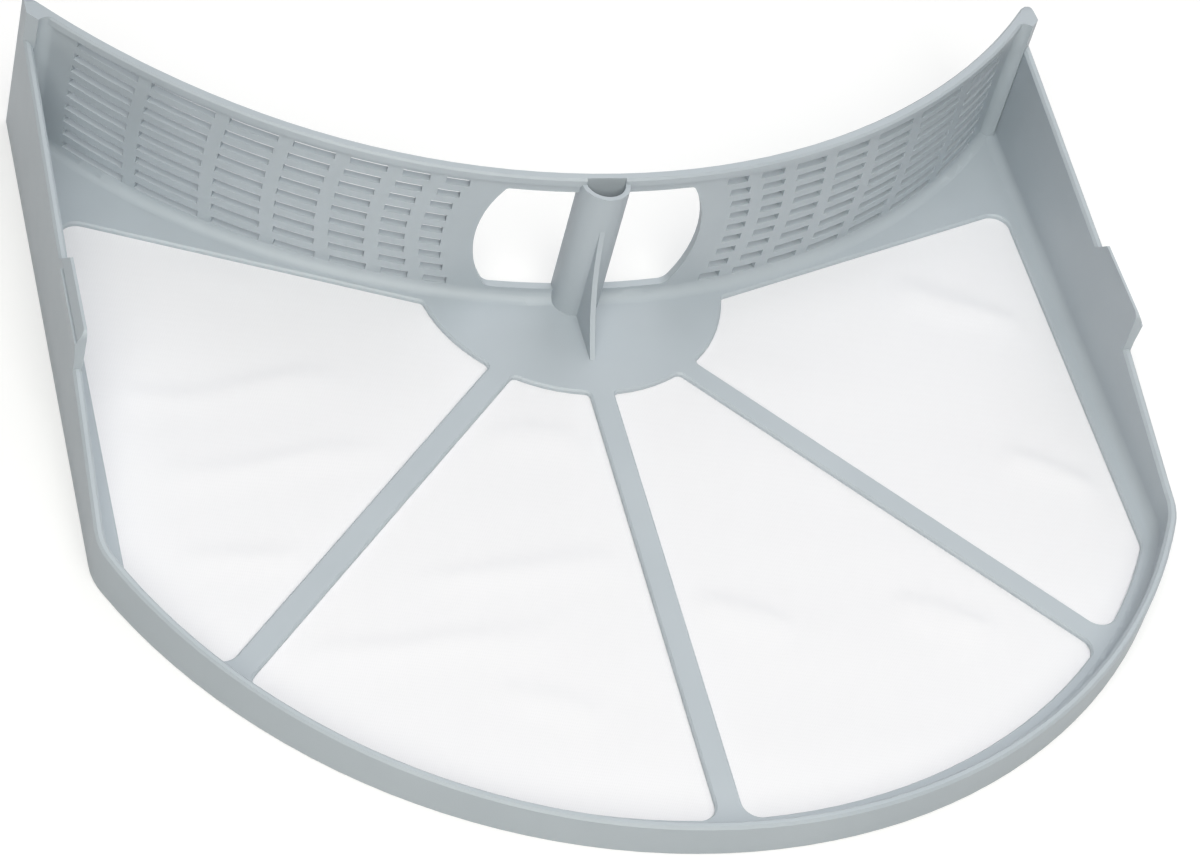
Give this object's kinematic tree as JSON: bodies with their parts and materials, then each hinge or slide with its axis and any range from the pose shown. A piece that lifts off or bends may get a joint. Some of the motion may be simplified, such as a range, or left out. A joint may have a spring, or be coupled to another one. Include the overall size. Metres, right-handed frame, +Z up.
{
  "type": "tumble dryer lint filter",
  "caption": "D-shaped moulded plastic tray with a curved slotted wall, finger windows, latch tabs and a fine mesh floor held by spokes, which catches lint in a tumble dryer.",
  "frame": {"origin": "middle of the flat underside, on the surface that the filter lies on", "axes": "+Z up from the mesh floor, +Y towards the slotted wall, +X to the right seen from the round front"},
  "size_m": [0.3032, 0.2728, 0.0494],
  "materials": {
    "plastic": "satin moulded",
    "mesh_fabric": "fine plain weave"
  },
  "bodies": {
    "root": {"frame": "plastic", "mesh": "mesh_fabric"}
  },
  "joints": []
}
